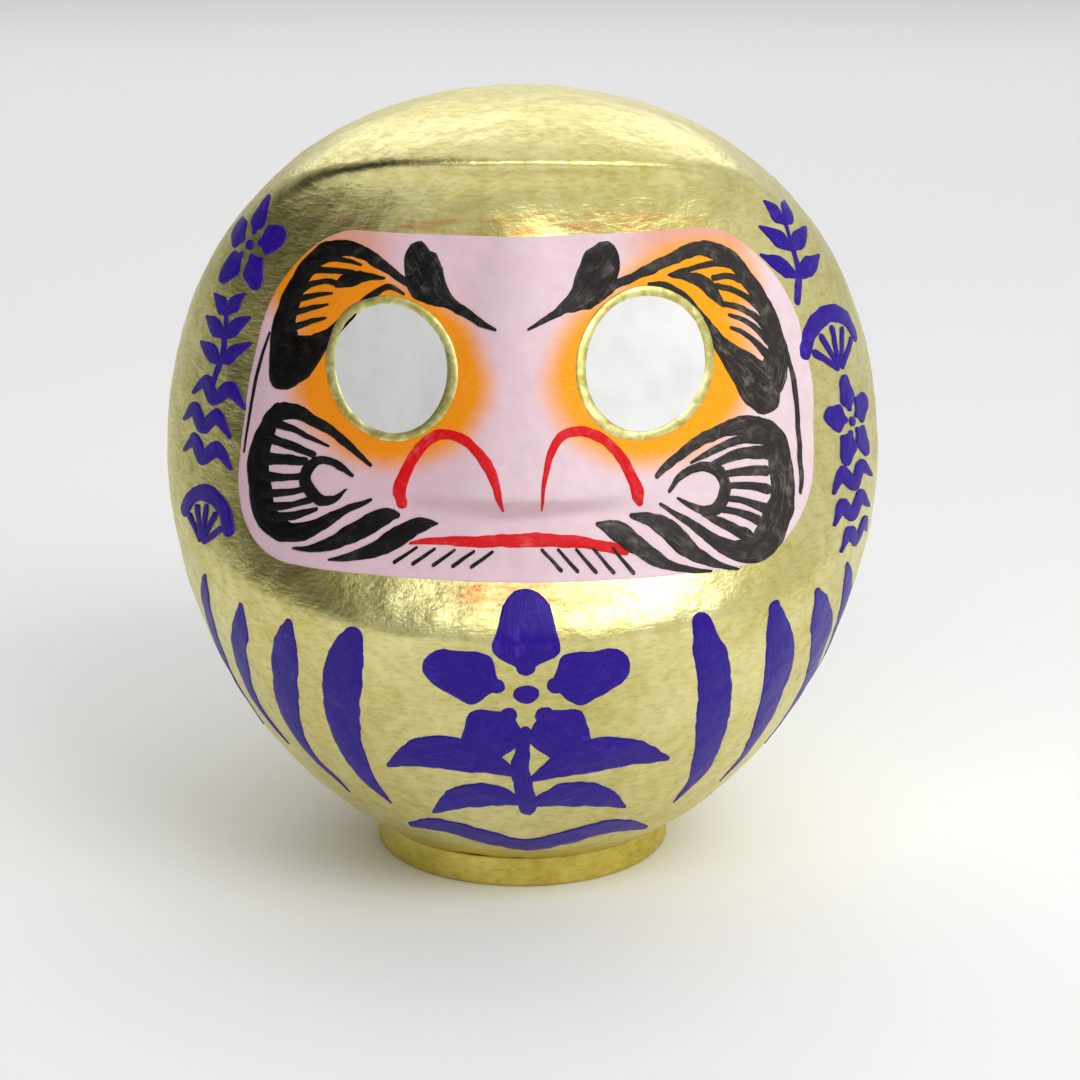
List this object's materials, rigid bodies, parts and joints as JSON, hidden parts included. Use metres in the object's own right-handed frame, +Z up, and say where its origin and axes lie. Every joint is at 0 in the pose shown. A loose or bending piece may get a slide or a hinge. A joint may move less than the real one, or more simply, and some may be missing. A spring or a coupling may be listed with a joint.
{
  "type": "daruma doll",
  "caption": "Round hollow paper good-luck doll with a sunk painted face under a hood ridge, blank eyes and a weighted flat foot.",
  "frame": {"origin": "centre of the underside of the foot, where the doll stands", "axes": "+Z up through the crown, -Y out of the face, +X to the right of a person who looks at the face"},
  "size_m": [0.22, 0.2091, 0.24],
  "materials": {
    "gold_foil_paper": "gloss",
    "gold_foil_strip": "satin",
    "pink_face_paint": "satin",
    "eye_white_paint": "matte",
    "gold_ring_paint": "satin",
    "gold_foot": "satin",
    "raw_clay": "matte",
    "grey_board": "matte",
    "black_brush_paint": "satin",
    "red_brush_paint": "satin",
    "violet_brush_paint": "satin"
  },
  "bodies": {
    "root": {"body_shell": "gold_foil_paper", "back_seam_strip": "gold_foil_strip", "face_coat": "pink_face_paint", "eye_white_left": "eye_white_paint", "eye_white_right": "eye_white_paint", "eye_ring_left": "gold_ring_paint", "eye_ring_right": "gold_ring_paint", "foot_ring": "gold_foot", "clay_weight": "raw_clay", "base_disc": "grey_board"}
  },
  "joints": []
}
